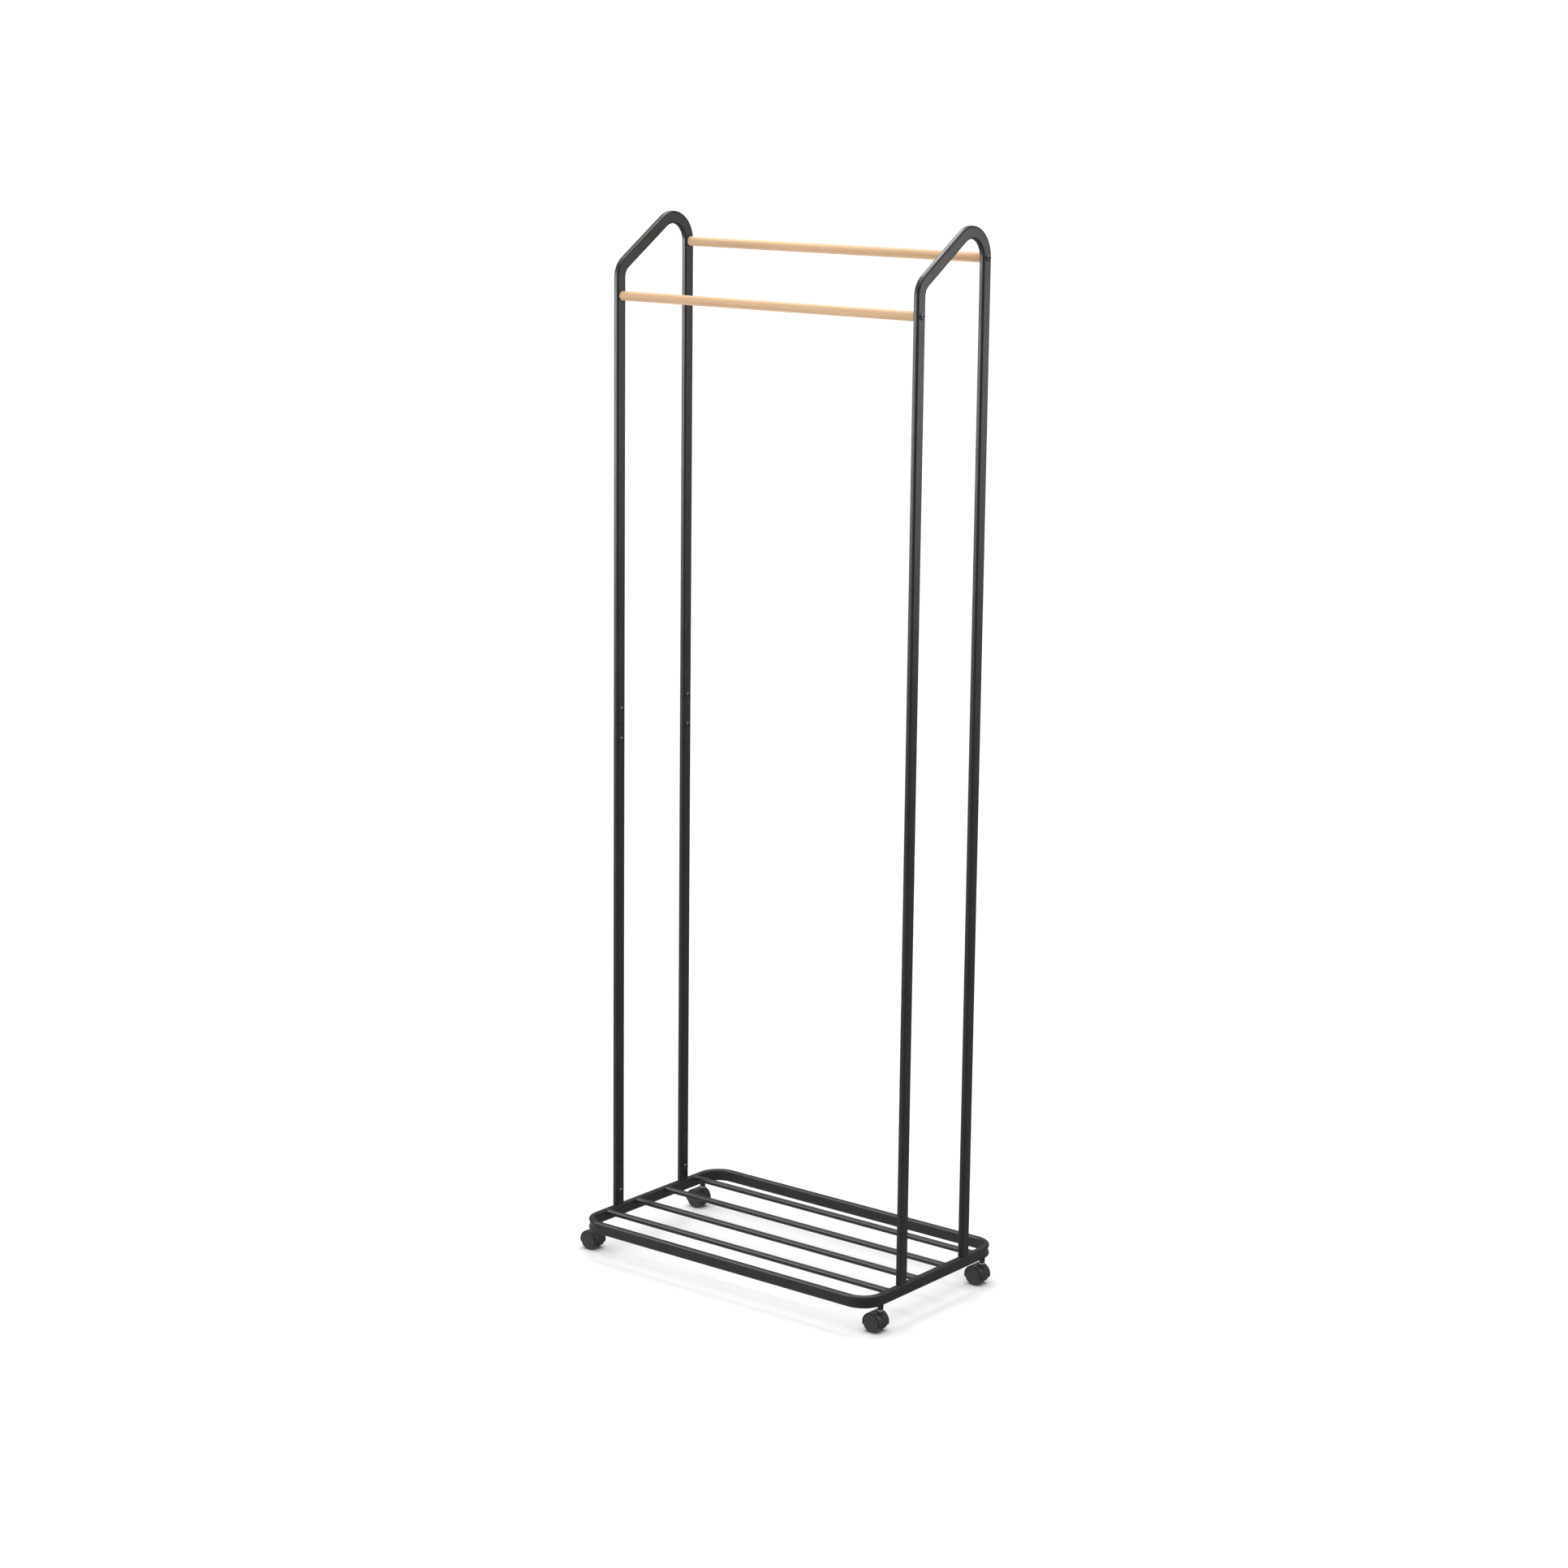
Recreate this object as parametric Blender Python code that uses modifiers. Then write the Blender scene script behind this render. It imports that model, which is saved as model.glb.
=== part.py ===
"""Rolling clothes rack.

Two bent steel side frames stand on a low tubular base with four shelf rods. Two round wooden
rails join the frames near the top, and four hooded twin-wheel casters carry the base.

World frame in metres: +X along the rack's length, +Y towards the back, +Z up, with the origin
on the floor under the middle of the base.
"""

import math

import bmesh
import bpy
from mathutils import Matrix

# ---------------------------------------------------------------- driving dimensions
RACK_LENGTH = 0.600             # over the end bars of the base, along X
BASE_DEPTH = 0.356              # over the front and back bars of the base, along Y
BASE_CORNER = 0.040             # outer radius of the base's bent corners
CORNER_CRIMP = 0.0022           # how far a corner's outer wall sinks in where it is bent

TUBE_WIDE = 0.020               # wide side of the flat-sided steel tube
TUBE_THIN = 0.010               # thin side of the same tube
TUBE_CORNER = 0.0035            # outer corner radius of its section
TUBE_WALL = 0.0012              # wall thickness

FRAME_TOP = 1.711               # highest point of the side frames
POST_SPACING = 0.168            # front post to back post, centre to centre
SEAM_HEIGHT = 0.885             # where an upper frame meets its lower posts
SLANT_ANGLE = math.radians(33.2)  # rise of the slanted top above level
FRONT_BEND = 0.028              # centre-line radius of the bend above the front post
REAR_BEND = 0.040               # centre-line radius of the bend at the rear top

FRONT_RAIL_DROP = 0.0289        # axis of the lower hanging rail below the end of the front bend
REAR_RAIL_DROP = 0.0            # axis of the higher hanging rail below the end of the rear bend
RAIL_DIAMETER = 0.015
RAIL_CHAMFER = 0.0008

ROD_DIAMETER = 0.010            # shelf rods across the base
ROD_COUNT = 4
ROD_INSET = 0.0643              # outer rod's axis from the base's front or back

JOINER_LENGTH = 0.100           # inner tube that joins the posts at the seam
JOINER_WALL = 0.0015
JOINER_BOLT_OFFSET = 0.025      # joint bolts above and below the seam
SPIGOT_HEIGHT = 0.040           # stub on the base that a lower post slides over
SPIGOT_ROOT = 0.8               # how deep its foot is set in the base's top wall, as a share of it
LEG_BOLT_HEIGHT = 0.024         # its bolt above the base's top

BOLT_SHANK = 0.006
BOLT_HEAD = 0.0105
BOLT_HEAD_HEIGHT = 0.0028
BOLT_TOP_FLAT = 0.55            # flat of the head's top, as a share of its radius
BOLT_CROWN = (0.86, 0.62)       # point on the crown, as shares of the head's radius and height
BOLT_EDGE = 0.15                # straight edge of the head, as a share of its height
BOLT_SOCKET = 0.004             # across the flats of the hexagonal socket
BOLT_SOCKET_DEPTH = 0.0016
BOLT_TIP_GAP = 0.0010           # from a joint bolt's tip to the far wall of the joiner
RAIL_BOLT_GRIP = 0.030          # how far a rail bolt goes into the wood

CASTER_TRAIL = 0.009            # wheel axle behind the stem's axis
WHEEL_DIAMETER = 0.031
WHEEL_WIDTH = 0.0094
WHEEL_RIM = 0.0025
WHEEL_FACE = 0.0020
WHEEL_HUB = 0.0050              # outer radius of the hub
WHEEL_ROUNDING = 0.0009
AXLE_DIAMETER = 0.0039
AXLE_INSET = 0.0026             # axle's end behind the wheel's outer face
HOOD_WALL = 0.0010
HOOD_GAP = 0.0005               # between the tread and the hood
HOOD_WEB = 0.0084               # thickness of the block between the two wheels
HOOD_OVERHANG = 0.0006          # wheel's outer face beyond the hood's edge
HOOD_SKIRT = 0.0045             # how far the hood reaches below the axle
BOSS_DIAMETER = 0.0104
BOSS_FOOT = 0.014               # diameter where the boss leaves the hood
BOSS_HEIGHT = 0.0135
BOSS_RISE = 0.0020              # top of the boss above the top of the hood
STEM_SHOW = 0.0095              # from the boss to the base's underside
STEM_DEPTH = 0.0125             # stem below the boss's top
STEM_RISE = 0.0100              # stem above the base bar's underside
FLANGE_DIAMETER = 0.0094
FLANGE_HEIGHT = 0.0024
BUSH_DIAMETER = 0.010
BUSH_WALL = 0.0008              # wall of the neck inside the base bar
BUSH_SIDE_GAP = 0.0006          # from the neck to the bar's side walls
BUSH_RISE = 0.0120              # neck above the base bar's underside

CONTACT_GAP = 0.0003            # between pieces that touch
FIT_CLEARANCE = 0.0003          # round a piece inside another's bore or cavity
RUNNING_CLEARANCE = 0.0001      # round the axle and the stem, on the radius

BEND_STEP = math.radians(15.0)  # one facet of a bent tube
ROUND_SIDES = 24
BOLT_SIDES = 12
CORNER_FACETS = 2
CUT_PAST = 0.002                # how far a cutter runs past what it cuts
WELD_DISTANCE = 0.00001         # points nearer than this are one point
STEP_SLACK = 0.001              # share of a facet by which an arc may exceed its step
SHARP_ANGLE = math.radians(40)  # edges sharper than this stay sharp when shaded

# ---------------------------------------------------------------- derived sizes and places
WHEEL_RADIUS = WHEEL_DIAMETER / 2
HOOD_RADIUS = WHEEL_RADIUS + HOOD_GAP + HOOD_WALL
BOSS_TOP = WHEEL_RADIUS + HOOD_RADIUS + BOSS_RISE
BASE_BOTTOM = BOSS_TOP + STEM_SHOW
BASE_TOP = BASE_BOTTOM + TUBE_WIDE
BUSH_NECK = TUBE_THIN - 2 * (TUBE_WALL + BUSH_SIDE_GAP)
STEM_DIAMETER = BUSH_NECK - 2 * (BUSH_WALL + RUNNING_CLEARANCE)
FRAME_BOLT_REACH = TUBE_THIN - TUBE_WALL - FIT_CLEARANCE - JOINER_WALL - BOLT_TIP_GAP
POST_X = RACK_LENGTH / 2 - TUBE_THIN / 2
POST_Y = POST_SPACING / 2
POST_INNER_X = RACK_LENGTH / 2 - TUBE_THIN
CASTER_X = POST_X
CASTER_Y = BASE_DEPTH / 2 - BASE_CORNER
ROD_PITCH = (BASE_DEPTH - 2 * ROD_INSET) / (ROD_COUNT - 1)
BEND_RUN = POST_SPACING - REAR_BEND - FRONT_BEND   # between the centres of the two bends
BEND_RISE = (BEND_RUN * math.sin(SLANT_ANGLE) - REAR_BEND + FRONT_BEND) / math.cos(SLANT_ANGLE)
REAR_BEND_HEIGHT = FRAME_TOP - TUBE_WIDE / 2 - REAR_BEND
FRONT_BEND_HEIGHT = REAR_BEND_HEIGHT - BEND_RISE
FRONT_RAIL_HEIGHT = FRONT_BEND_HEIGHT - FRONT_RAIL_DROP
REAR_RAIL_HEIGHT = REAR_BEND_HEIGHT - REAR_RAIL_DROP
WHEEL_INNER_FACE = HOOD_WEB / 2 + FIT_CLEARANCE
WHEEL_OUTER_FACE = WHEEL_INNER_FACE + WHEEL_WIDTH
HOOD_HALF_WIDTH = WHEEL_OUTER_FACE - HOOD_OVERHANG
QUARTER = math.pi / 2

SIDES = {"left": -1, "right": 1}
ENDS = {"front": -1, "rear": 1}


# ---------------------------------------------------------------- scene and helpers
def empty_scene():
    for item in list(bpy.data.objects):
        bpy.data.objects.remove(item)


def make_collection(name):
    collection = bpy.data.collections.new(name)
    bpy.context.scene.collection.children.link(collection)
    return collection


def make_material(name, colour, roughness, metallic):
    material = bpy.data.materials.new(name)
    material.use_nodes = True
    shader = material.node_tree.nodes["Principled BSDF"]
    shader.inputs["Base Color"].default_value = (*colour, 1.0)
    shader.inputs["Roughness"].default_value = roughness
    shader.inputs["Metallic"].default_value = metallic
    material.diffuse_color = (*colour, 1.0)
    return material


def add_part(name, mesh, material, location=(0, 0, 0), rotation=(0, 0, 0), parent=None):
    """Add a sub-part to the rack; copies of a piece share its mesh."""
    if not mesh.materials:
        mesh.materials.append(material)
    part = bpy.data.objects.new(name, mesh)
    part.location = location
    part.rotation_euler = rotation
    part.parent = parent
    rack.objects.link(part)
    return part


def draft(name, data):
    """Add a working object at the origin, for a tool or for a piece still being made."""
    item = bpy.data.objects.new(name, data)
    workshop.objects.link(item)
    return item


def finish(item):
    """Remove a working object and return the mesh it shows, welded and shaded."""
    graph = bpy.context.evaluated_depsgraph_get()
    mesh = bpy.data.meshes.new_from_object(item.evaluated_get(graph))
    mesh.name = item.name
    bpy.data.objects.remove(item)
    work = bmesh.new()
    work.from_mesh(mesh)
    bmesh.ops.remove_doubles(work, verts=work.verts, dist=WELD_DISTANCE)
    bmesh.ops.recalc_face_normals(work, faces=work.faces)
    work.to_mesh(mesh)
    work.free()
    mesh.materials.clear()
    mesh.shade_smooth()
    mesh.set_sharp_from_angle(angle=SHARP_ANGLE)
    return mesh


def combine(item, tools, operation):
    """Join the tools to a working object or cut them from it, and return the result."""
    for tool in tools:
        step = item.modifiers.new(tool.name, "BOOLEAN")
        step.operation = operation
        step.object = tool
    name = item.name
    mesh = finish(item)
    for tool in tools:
        bpy.data.objects.remove(tool)
    return draft(name, mesh)


def cone(name, lower, upper, height, sides, centre=(0, 0, 0), axis="Z"):
    """Working cone or cylinder on a world axis, from its lower and upper radius."""
    turn = {"X": Matrix.Rotation(QUARTER, 4, "Y"), "Y": Matrix.Rotation(QUARTER, 4, "X"),
            "Z": Matrix.Identity(4)}[axis]
    mesh = bpy.data.meshes.new(name)
    work = bmesh.new()
    bmesh.ops.create_cone(work, cap_ends=True, segments=sides, radius1=lower, radius2=upper,
                          depth=height, matrix=Matrix.Translation(centre) @ turn)
    work.to_mesh(mesh)
    work.free()
    return draft(name, mesh)


def cylinder(name, radius, length, sides, centre=(0, 0, 0), axis="Z"):
    return cone(name, radius, radius, length, sides, centre, axis)


def block(name, size, centre=(0, 0, 0)):
    mesh = bpy.data.meshes.new(name)
    work = bmesh.new()
    bmesh.ops.create_cube(work, size=1.0, matrix=Matrix.LocRotScale(centre, None, size))
    work.to_mesh(mesh)
    work.free()
    return draft(name, mesh)


def turned(name, profile, closed=False, sides=ROUND_SIDES):
    """Working solid turned round Z from (radius, height) points, down the outer side first."""
    mesh = bpy.data.meshes.new(name)
    work = bmesh.new()
    points = [work.verts.new((radius, 0.0, height)) for radius, height in profile]
    followers = points[1:] + points[:1] if closed else points[1:]
    for first, second in zip(points, followers):
        work.edges.new((first, second))
    work.to_mesh(mesh)
    work.free()
    item = draft(name, mesh)
    turn = item.modifiers.new("turn", "SCREW")
    turn.steps = sides
    turn.render_steps = sides
    turn.use_merge_vertices = True
    turn.merge_threshold = WELD_DISTANCE
    return item


def arc(centre, radius, start, end, step=BEND_STEP):
    """Points on a circle from one angle to another, both ends included."""
    count = max(2, math.ceil(abs(end - start) / step - STEP_SLACK))
    angles = [start + (end - start) * index / count for index in range(count + 1)]
    return [(centre[0] + radius * math.cos(angle), centre[1] + radius * math.sin(angle))
            for angle in angles]


def rounded_rectangle(width, height, radius, step=QUARTER / CORNER_FACETS, middles=False):
    """Closed outline round the origin, with a point halfway up its left and right on request."""
    half_width = width / 2 - radius
    half_height = height / 2 - radius
    corners = [(half_width, half_height), (-half_width, half_height),
               (-half_width, -half_height), (half_width, -half_height)]
    outline = []
    for index, corner in enumerate(corners):
        start = index * QUARTER
        outline += arc(corner, radius, start, start + QUARTER, step)
        if middles and index in (1, 3):
            outline.append((math.copysign(width / 2, corner[0]), 0.0))
    return outline


def flat_curve(name, outlines, cyclic=True, fill="NONE"):
    """Flat curve of straight-sided splines, one for each outline."""
    curve = bpy.data.curves.new(name, "CURVE")
    curve.dimensions = "2D"
    curve.fill_mode = fill
    for outline in outlines:
        spline = curve.splines.new("POLY")
        spline.points.add(len(outline) - 1)
        for point, (x, y) in zip(spline.points, outline):
            point.co = (x, y, 0.0, 1.0)
        spline.use_cyclic_u = cyclic
    return curve


def extruded(name, outlines, length):
    """Working solid with a flat outline in XY, extruded evenly along Z."""
    curve = flat_curve(name, outlines, fill="BOTH")
    curve.extrude = length / 2
    return draft(name, finish(draft(name, curve)))


def bent_skin(name, path, in_plane, upright, cyclic):
    """Outer skin of the flat-sided tube swept along a flat path, as a mesh."""
    outline = rounded_rectangle(in_plane, upright, TUBE_CORNER, middles=cyclic)
    section = draft(name + "_section", flat_curve(name + "_section", [outline]))
    run = flat_curve(name, [path], cyclic)
    run.bevel_mode = "OBJECT"
    run.bevel_object = section
    skin = finish(draft(name, run))
    bpy.data.objects.remove(section)
    return skin


def add_wall(item):
    wall = item.modifiers.new("wall", "SOLIDIFY")
    wall.thickness = TUBE_WALL
    wall.offset = -1.0
    wall.use_even_offset = True
    return item


# ---------------------------------------------------------------- steel frame
def inner_outline(inset=0.0):
    """Section that slides inside the tube, or the section inset from it."""
    shrink = 2 * (TUBE_WALL + FIT_CLEARANCE + inset)
    radius = max(TUBE_CORNER - shrink / 2, TUBE_WALL / 3)
    return rounded_rectangle(TUBE_THIN - shrink, TUBE_WIDE - shrink, radius)


def bolt_hole(name, centre, length, axis):
    return cylinder(name, BOLT_SHANK / 2 + FIT_CLEARANCE, length, BOLT_SIDES, centre, axis)


def upper_frame_path():
    """Centre line of a side frame in its own plane, as (depth, height) points."""
    bend_end = math.pi / 2 + SLANT_ANGLE
    front_centre = (FRONT_BEND - POST_Y, FRONT_BEND_HEIGHT)
    rear_centre = (POST_Y - REAR_BEND, REAR_BEND_HEIGHT)
    foot = SEAM_HEIGHT + CONTACT_GAP / 2
    return [(-POST_Y, foot), *arc(front_centre, FRONT_BEND, math.pi, bend_end),
            *arc(rear_centre, REAR_BEND, bend_end, 0.0), (POST_Y, foot)]


def build_upper_frame(side_name, side):
    """Side frame, drawn flat with its local Z along the rack's length."""
    name = side_name + "_upper_frame"
    skin = bent_skin(name, upper_frame_path(), TUBE_WIDE, TUBE_THIN, cyclic=False)
    inner_wall = -side * (TUBE_THIN - TUBE_WALL) / 2
    joint_height = SEAM_HEIGHT + JOINER_BOLT_OFFSET
    holes = []
    for end_name, end in ENDS.items():
        height = FRONT_RAIL_HEIGHT if end_name == "front" else REAR_RAIL_HEIGHT
        holes.append(bolt_hole("rail_hole_" + end_name, (end * POST_Y, height, 0.0),
                               TUBE_THIN + 2 * CUT_PAST, "Z"))
        holes.append(bolt_hole("joint_hole_" + end_name, (end * POST_Y, joint_height, inner_wall),
                               TUBE_WALL + 2 * CUT_PAST, "Z"))
    frame = combine(add_wall(draft(name, skin)), holes, "DIFFERENCE")
    add_part(name, finish(frame), steel, (side * POST_X, 0, 0), (QUARTER, 0, QUARTER))


def build_lower_posts():
    """Four straight posts; each is drawn with the rack's middle on its +X side."""
    low = BASE_TOP + CONTACT_GAP
    high = SEAM_HEIGHT - CONTACT_GAP / 2
    middle = (low + high) / 2
    outer = rounded_rectangle(TUBE_THIN, TUBE_WIDE, TUBE_CORNER)
    inner = rounded_rectangle(TUBE_THIN - 2 * TUBE_WALL, TUBE_WIDE - 2 * TUBE_WALL,
                              TUBE_CORNER - TUBE_WALL)
    post = extruded("lower_post", [outer, inner], high - low)
    wall_middle = (TUBE_THIN - TUBE_WALL) / 2
    holes = [bolt_hole("post_hole", (wall_middle, 0.0, height - middle),
                       TUBE_WALL + 2 * CUT_PAST, "X")
             for height in (BASE_TOP + LEG_BOLT_HEIGHT, SEAM_HEIGHT - JOINER_BOLT_OFFSET)]
    mesh = finish(combine(post, holes, "DIFFERENCE"))
    for side_name, side in SIDES.items():
        for end_name, end in ENDS.items():
            add_part(f"{side_name}_{end_name}_lower_post", mesh, steel,
                     (side * POST_X, end * POST_Y, middle), (0, 0, turn_to_middle(side)))


def build_joiners():
    """Inner tubes across the seams, drawn as the lower posts are."""
    joiner = extruded("joiner", [inner_outline(), inner_outline(JOINER_WALL)], JOINER_LENGTH)
    wall_middle = TUBE_THIN / 2 - TUBE_WALL - FIT_CLEARANCE - JOINER_WALL / 2
    holes = [bolt_hole("joiner_hole", (wall_middle, 0.0, offset), JOINER_WALL + CUT_PAST, "X")
             for offset in (-JOINER_BOLT_OFFSET, JOINER_BOLT_OFFSET)]
    mesh = finish(combine(joiner, holes, "DIFFERENCE"))
    for side_name, side in SIDES.items():
        for end_name, end in ENDS.items():
            add_part(f"{side_name}_{end_name}_joiner", mesh, bare_steel,
                     (side * POST_X, end * POST_Y, SEAM_HEIGHT), (0, 0, turn_to_middle(side)))


def turn_to_middle(side):
    """Turn about Z that points a piece's local +X at the rack's middle."""
    return math.pi if side > 0 else 0.0


def sink_corners(mesh):
    """Push in the middle of the outer wall where the base's tube is bent."""
    straight_x = RACK_LENGTH / 2 - BASE_CORNER
    straight_y = BASE_DEPTH / 2 - BASE_CORNER
    for vertex in mesh.vertices:
        away_x = abs(vertex.co.x) - straight_x
        away_y = abs(vertex.co.y) - straight_y
        distance = math.hypot(away_x, away_y)
        in_corner = away_x > 0 and away_y > 0
        on_outer_middle = distance > BASE_CORNER - TUBE_WALL and abs(vertex.co.z) < TUBE_WALL
        if in_corner and on_outer_middle:
            depth = CORNER_CRIMP * math.sin(2 * math.atan2(away_y, away_x))
            vertex.co.x -= math.copysign(depth * away_x / distance, vertex.co.x)
            vertex.co.y -= math.copysign(depth * away_y / distance, vertex.co.y)


def build_base():
    """Closed tube loop with a stub under each post and a hole over each caster."""
    path = rounded_rectangle(RACK_LENGTH - TUBE_THIN, BASE_DEPTH - TUBE_THIN,
                             BASE_CORNER - TUBE_THIN / 2, BEND_STEP)
    skin = bent_skin("base_frame", path, TUBE_THIN, TUBE_WIDE, cyclic=True)
    sink_corners(skin)
    half = TUBE_WIDE / 2
    caster_holes = []
    stubs = []
    bolt_holes = []
    stub_foot = -SPIGOT_ROOT * TUBE_WALL
    hole_inner = FRAME_BOLT_REACH + FIT_CLEARANCE
    neck_room = BUSH_RISE + FIT_CLEARANCE
    for side in SIDES.values():
        for end in ENDS.values():
            caster_holes.append(cylinder("caster_hole", BUSH_NECK / 2 + FIT_CLEARANCE,
                                         neck_room + CUT_PAST, ROUND_SIDES,
                                         (side * CASTER_X, end * CASTER_Y,
                                          (neck_room - CUT_PAST) / 2 - half)))
            stub = extruded("stub", [inner_outline()], SPIGOT_HEIGHT - stub_foot)
            stub.data.transform(Matrix.Translation(
                (side * POST_X, end * POST_Y, half + (SPIGOT_HEIGHT + stub_foot) / 2)))
            stubs.append(stub)
            bolt_holes.append(bolt_hole(
                "leg_hole", (side * (POST_INNER_X + hole_inner / 2), end * POST_Y,
                             half + LEG_BOLT_HEIGHT), hole_inner, "X"))
    loop = combine(add_wall(draft("base_frame", skin)), caster_holes, "DIFFERENCE")
    loop = combine(loop, stubs, "UNION")
    mesh = finish(combine(loop, bolt_holes, "DIFFERENCE"))
    add_part("base_frame", mesh, steel, (0, 0, BASE_TOP - half))


def build_shelf_rods():
    length = 2 * (POST_INNER_X - CONTACT_GAP)
    mesh = finish(cylinder("shelf_rod", ROD_DIAMETER / 2, length, BOLT_SIDES, axis="X"))
    for index in range(ROD_COUNT):
        depth = (index - (ROD_COUNT - 1) / 2) * ROD_PITCH
        add_part(f"shelf_rod_{index + 1}", mesh, steel, (0, depth, BASE_TOP - ROD_DIAMETER / 2))


# ---------------------------------------------------------------- rails and bolts
def build_rails():
    """Round wooden rails between the side frames, bored at both ends for their bolts."""
    half = POST_INNER_X - CONTACT_GAP
    radius = RAIL_DIAMETER / 2
    rail = turned("rail", [(0.0, half), (radius - RAIL_CHAMFER, half),
                           (radius, half - RAIL_CHAMFER), (radius, RAIL_CHAMFER - half),
                           (radius - RAIL_CHAMFER, -half), (0.0, -half)])
    bore_depth = RAIL_BOLT_GRIP + FIT_CLEARANCE
    bores = [bolt_hole("rail_bore", (0.0, 0.0, side * (half - (bore_depth - CUT_PAST) / 2)),
                       bore_depth + CUT_PAST, "Z") for side in SIDES.values()]
    mesh = finish(combine(rail, bores, "DIFFERENCE"))
    add_part("front_rail", mesh, wood, (0, -POST_Y, FRONT_RAIL_HEIGHT), (0, QUARTER, 0))
    add_part("rear_rail", mesh, wood, (0, POST_Y, REAR_RAIL_HEIGHT), (0, QUARTER, 0))


def bolt_mesh(name, reach):
    """Button-head bolt along Z, its head's seat at the origin and its shank downwards."""
    head = BOLT_HEAD / 2
    shank = BOLT_SHANK / 2
    bolt = turned(name, [(0.0, BOLT_HEAD_HEIGHT), (BOLT_TOP_FLAT * head, BOLT_HEAD_HEIGHT),
                         (BOLT_CROWN[0] * head, BOLT_CROWN[1] * BOLT_HEAD_HEIGHT),
                         (head, BOLT_EDGE * BOLT_HEAD_HEIGHT), (head, 0.0), (shank, 0.0),
                         (shank, -reach), (0.0, -reach)], sides=BOLT_SIDES)
    socket = cylinder("socket", BOLT_SOCKET / 2 / math.cos(math.pi / 6),
                      BOLT_SOCKET_DEPTH + CUT_PAST, 6,
                      (0, 0, BOLT_HEAD_HEIGHT - (BOLT_SOCKET_DEPTH - CUT_PAST) / 2))
    return finish(combine(bolt, [socket], "DIFFERENCE"))


def build_bolts():
    """Rail bolts go in from outside the posts, the others from inside."""
    rail_bolt = bolt_mesh("rail_bolt", TUBE_THIN + CONTACT_GAP + RAIL_BOLT_GRIP)
    short_bolt = bolt_mesh("frame_bolt", FRAME_BOLT_REACH)
    rail_heights = {"front": FRONT_RAIL_HEIGHT, "rear": REAR_RAIL_HEIGHT}
    inner_heights = {"upper_joint": SEAM_HEIGHT + JOINER_BOLT_OFFSET,
                     "lower_joint": SEAM_HEIGHT - JOINER_BOLT_OFFSET,
                     "leg": BASE_TOP + LEG_BOLT_HEIGHT}
    for side_name, side in SIDES.items():
        outer_x = side * (RACK_LENGTH / 2 + CONTACT_GAP)
        inner_x = side * (POST_INNER_X - CONTACT_GAP)
        for end_name, end in ENDS.items():
            place = f"{side_name}_{end_name}"
            add_part(place + "_rail_bolt", rail_bolt, bolt_steel,
                     (outer_x, end * POST_Y, rail_heights[end_name]), (0, side * QUARTER, 0))
            for bolt_name, height in inner_heights.items():
                add_part(f"{place}_{bolt_name}_bolt", short_bolt, bolt_steel,
                         (inner_x, end * POST_Y, height), (0, -side * QUARTER, 0))


# ---------------------------------------------------------------- casters
def bush_mesh():
    """Threaded bush that closes the hole in the base bar; its origin is on the bar's underside."""
    neck = BUSH_NECK / 2
    bore = STEM_DIAMETER / 2 + RUNNING_CLEARANCE
    low = BOSS_TOP + FLANGE_HEIGHT + 2 * CONTACT_GAP - BASE_BOTTOM
    return finish(turned("caster_bush", [(neck, BUSH_RISE), (neck, -CONTACT_GAP),
                                         (BUSH_DIAMETER / 2, -CONTACT_GAP),
                                         (BUSH_DIAMETER / 2, low), (bore, low),
                                         (bore, BUSH_RISE)], closed=True, sides=BOLT_SIDES))


def stem_mesh():
    """Plated stem with its flange, at heights above the floor."""
    radius = STEM_DIAMETER / 2
    flange = FLANGE_DIAMETER / 2
    seat = BOSS_TOP + CONTACT_GAP
    top = BASE_BOTTOM + STEM_RISE
    foot = BOSS_TOP - STEM_DEPTH
    return finish(turned("caster_stem", [(0.0, top), (radius, top), (radius, seat + FLANGE_HEIGHT),
                                         (flange, seat + FLANGE_HEIGHT), (flange, seat),
                                         (radius, seat), (radius, foot), (0.0, foot)],
                         sides=BOLT_SIDES))


def hood_mesh():
    """Hood over both wheels with the block that holds the stem and the axle."""
    axle = (-CASTER_TRAIL, 0.0, WHEEL_RADIUS)
    hood = cylinder("caster_hood", HOOD_RADIUS, 2 * HOOD_HALF_WIDTH, 2 * BOLT_SIDES, axle, "Y")
    boss = cone("boss", BOSS_FOOT / 2, BOSS_DIAMETER / 2, BOSS_HEIGHT, BOLT_SIDES,
                (0.0, 0.0, BOSS_TOP - BOSS_HEIGHT / 2))
    hood = combine(hood, [boss], "UNION")
    pocket_width = HOOD_HALF_WIDTH - HOOD_WEB / 2 + CUT_PAST
    cuts = [cylinder("pocket", WHEEL_RADIUS + HOOD_GAP, pocket_width, 2 * BOLT_SIDES,
                     (axle[0], end * (HOOD_WEB + pocket_width) / 2, axle[2]), "Y")
            for end in ENDS.values()]
    skirt = WHEEL_RADIUS - HOOD_SKIRT
    below = 2 * WHEEL_DIAMETER
    cuts.append(block("below", (below, below, below), (axle[0], 0.0, skirt - below / 2)))
    cuts.append(cylinder("axle_bore", AXLE_DIAMETER / 2 + RUNNING_CLEARANCE,
                         HOOD_WEB + 2 * CUT_PAST, BOLT_SIDES, axle, "Y"))
    stem_bore = STEM_DEPTH + FIT_CLEARANCE
    cuts.append(cylinder("stem_bore", STEM_DIAMETER / 2 + FIT_CLEARANCE, stem_bore + CUT_PAST,
                         BOLT_SIDES, (0.0, 0.0, BOSS_TOP - (stem_bore - CUT_PAST) / 2)))
    return finish(combine(hood, cuts, "DIFFERENCE"))


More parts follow.
